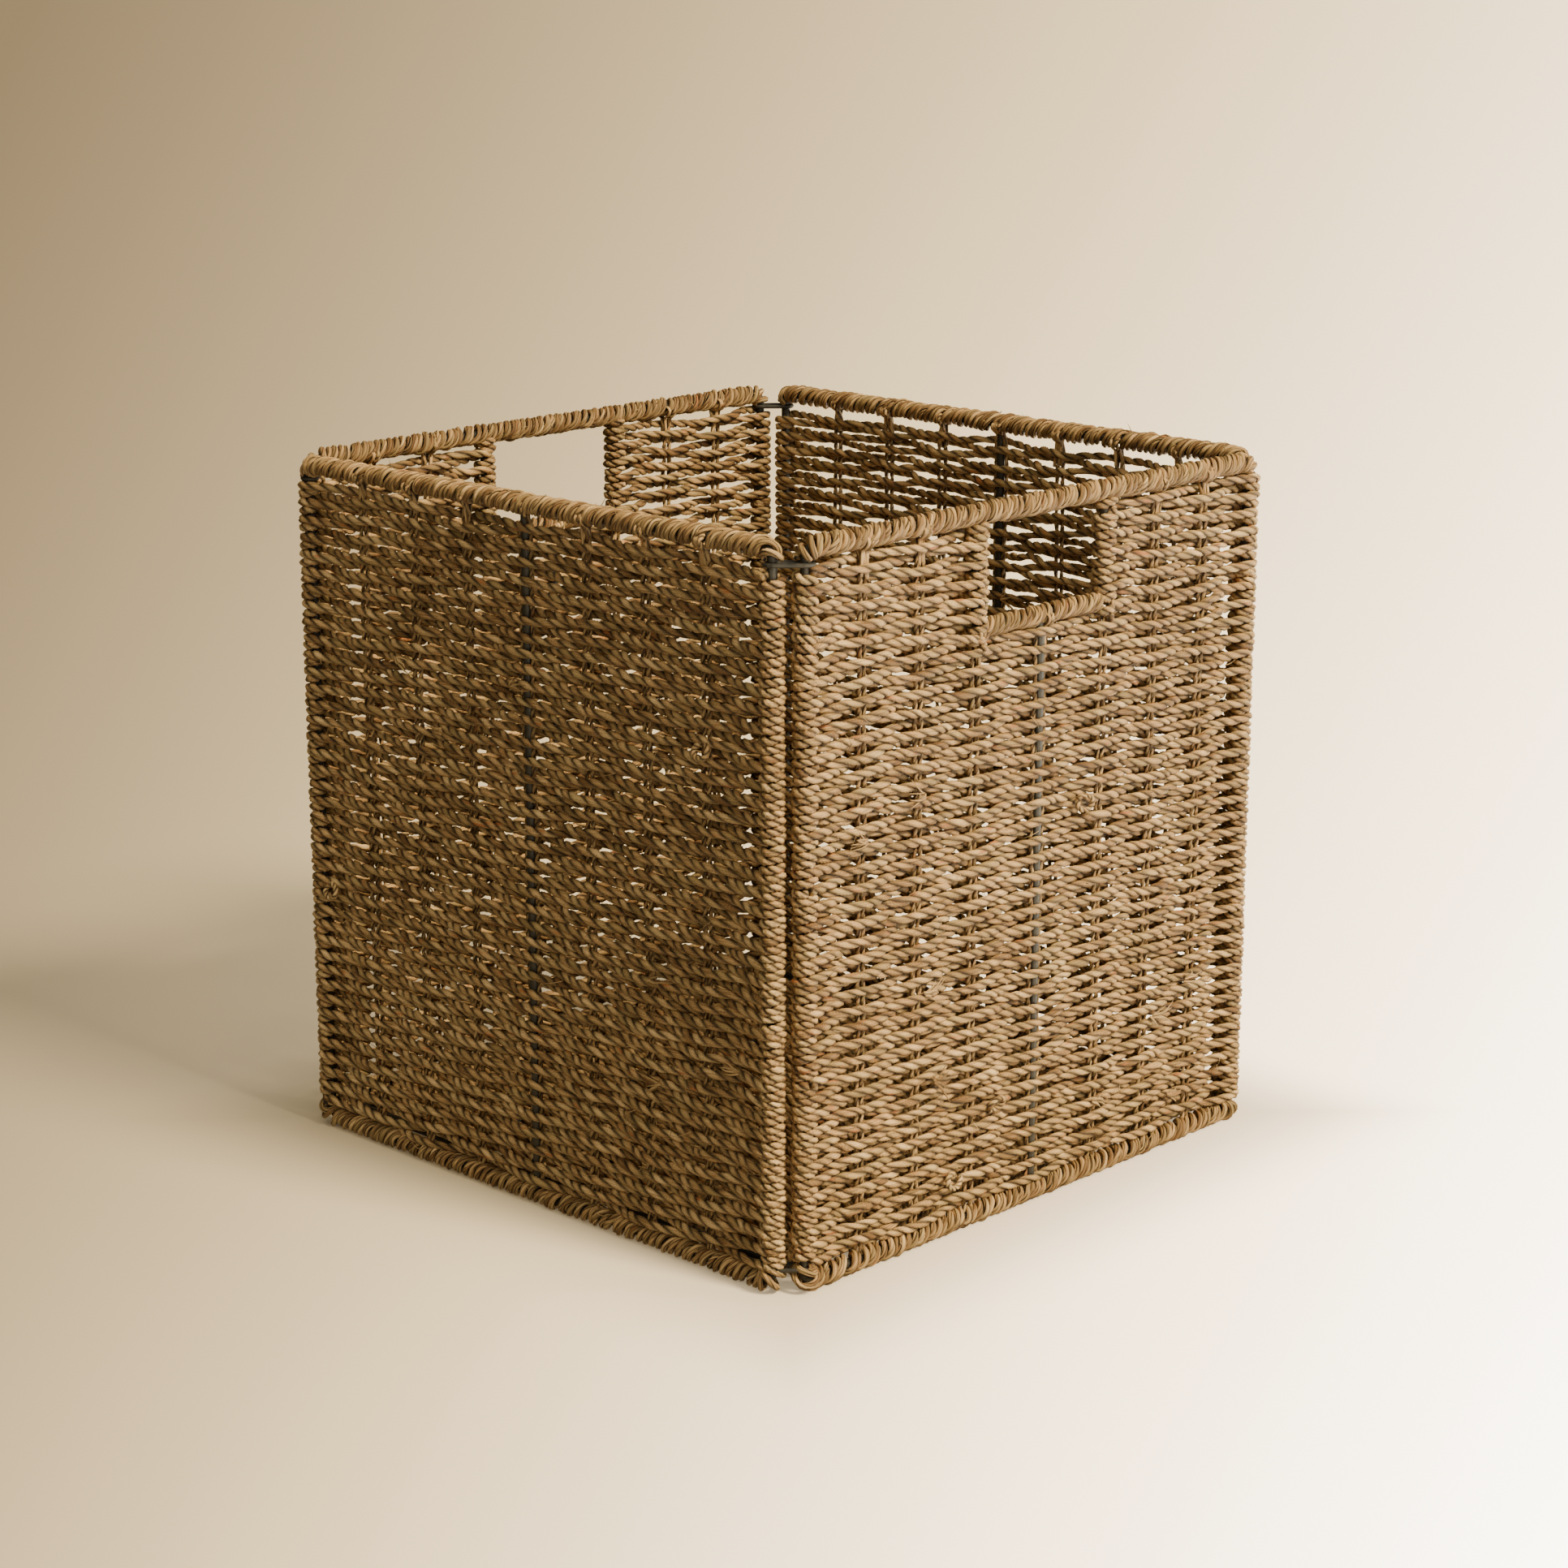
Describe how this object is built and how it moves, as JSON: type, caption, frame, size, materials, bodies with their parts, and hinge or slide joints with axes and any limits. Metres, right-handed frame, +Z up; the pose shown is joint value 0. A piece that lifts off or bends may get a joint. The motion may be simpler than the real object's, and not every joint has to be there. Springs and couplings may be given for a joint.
{
  "type": "storage basket",
  "caption": "Square open-topped storage basket of twisted seagrass woven on iron-framed walls linked at their corners, with hand slots under the rim and a lifting base.",
  "frame": {"origin": "on the floor under the middle of the basket", "axes": "+Z up, -Y towards the front wall, +X towards the right wall; the right and left walls have the hand slots"},
  "size_m": [0.31, 0.31, 0.31],
  "materials": {
    "seagrass_weave": "plain weave of two-ply twisted natural seagrass cord, dry and matt with a faint sheen",
    "seagrass_winding": "tightly wound natural seagrass strands, matt with a faint sheen",
    "painted_iron": "dark grey-olive painted iron rod, satin, a little worn",
    "loop_wire": "thin dark iron wire, satin",
    "twine": "thin twisted seagrass twine, matt"
  },
  "bodies": {
    "back_wall": {"back_frame": "painted_iron", "back_centre_stake": "painted_iron", "back_weave": "seagrass_weave", "back_top_wrap": "seagrass_winding", "back_bottom_wrap": "seagrass_winding", "top_back_left_loop": "loop_wire", "bottom_back_left_loop": "loop_wire", "top_back_right_loop": "loop_wire", "bottom_back_right_loop": "loop_wire", "base_tie_1": "twine", "base_tie_2": "twine", "base_tie_3": "twine", "base_tie_4": "twine"},
    "right_wall": {"right_frame": "painted_iron", "right_centre_stake": "painted_iron", "right_weave": "seagrass_weave", "right_top_wrap": "seagrass_winding", "right_bottom_wrap": "seagrass_winding", "right_handle_bar": "painted_iron", "right_handle_wrap": "seagrass_winding", "top_front_right_loop": "loop_wire", "bottom_front_right_loop": "loop_wire"},
    "left_wall": {"left_frame": "painted_iron", "left_centre_stake": "painted_iron", "left_weave": "seagrass_weave", "left_top_wrap": "seagrass_winding", "left_bottom_wrap": "seagrass_winding", "left_handle_bar": "painted_iron", "left_handle_wrap": "seagrass_winding", "top_front_left_loop": "loop_wire", "bottom_front_left_loop": "loop_wire"},
    "front_wall": {"front_frame": "painted_iron", "front_centre_stake": "painted_iron", "front_weave": "seagrass_weave", "front_top_wrap": "seagrass_winding", "front_bottom_wrap": "seagrass_winding"},
    "base": {"base_frame": "painted_iron", "base_weave": "seagrass_weave", "base_stake_1": "painted_iron", "base_stake_2": "painted_iron", "base_stake_3": "painted_iron"}
  },
  "joints": [
    {"name": "right_wall_fold", "type": "hinge", "parent": "back_wall", "child": "right_wall", "pos_m": [0.1455, 0.1455, 0.155], "axis": [0, 0, 1], "range_deg": [-1, 1]},
    {"name": "left_wall_fold", "type": "hinge", "parent": "back_wall", "child": "left_wall", "pos_m": [-0.1455, 0.1455, 0.155], "axis": [0, 0, 1], "range_deg": [-1, 1]},
    {"name": "front_wall_fold", "type": "hinge", "parent": "right_wall", "child": "front_wall", "pos_m": [0.1455, -0.1455, 0.155], "axis": [0, 0, 1], "range_deg": [-1, 1]},
    {"name": "base_lift", "type": "hinge", "parent": "back_wall", "child": "base", "pos_m": [0, 0.1385, 0.0062], "axis": [-1, 0, 0], "range_deg": [0, 88]}
  ],
  "couplings": [
    {"joint": "left_wall_fold", "follows": "right_wall_fold", "ratio": 1},
    {"joint": "front_wall_fold", "follows": "right_wall_fold", "ratio": -1}
  ]
}
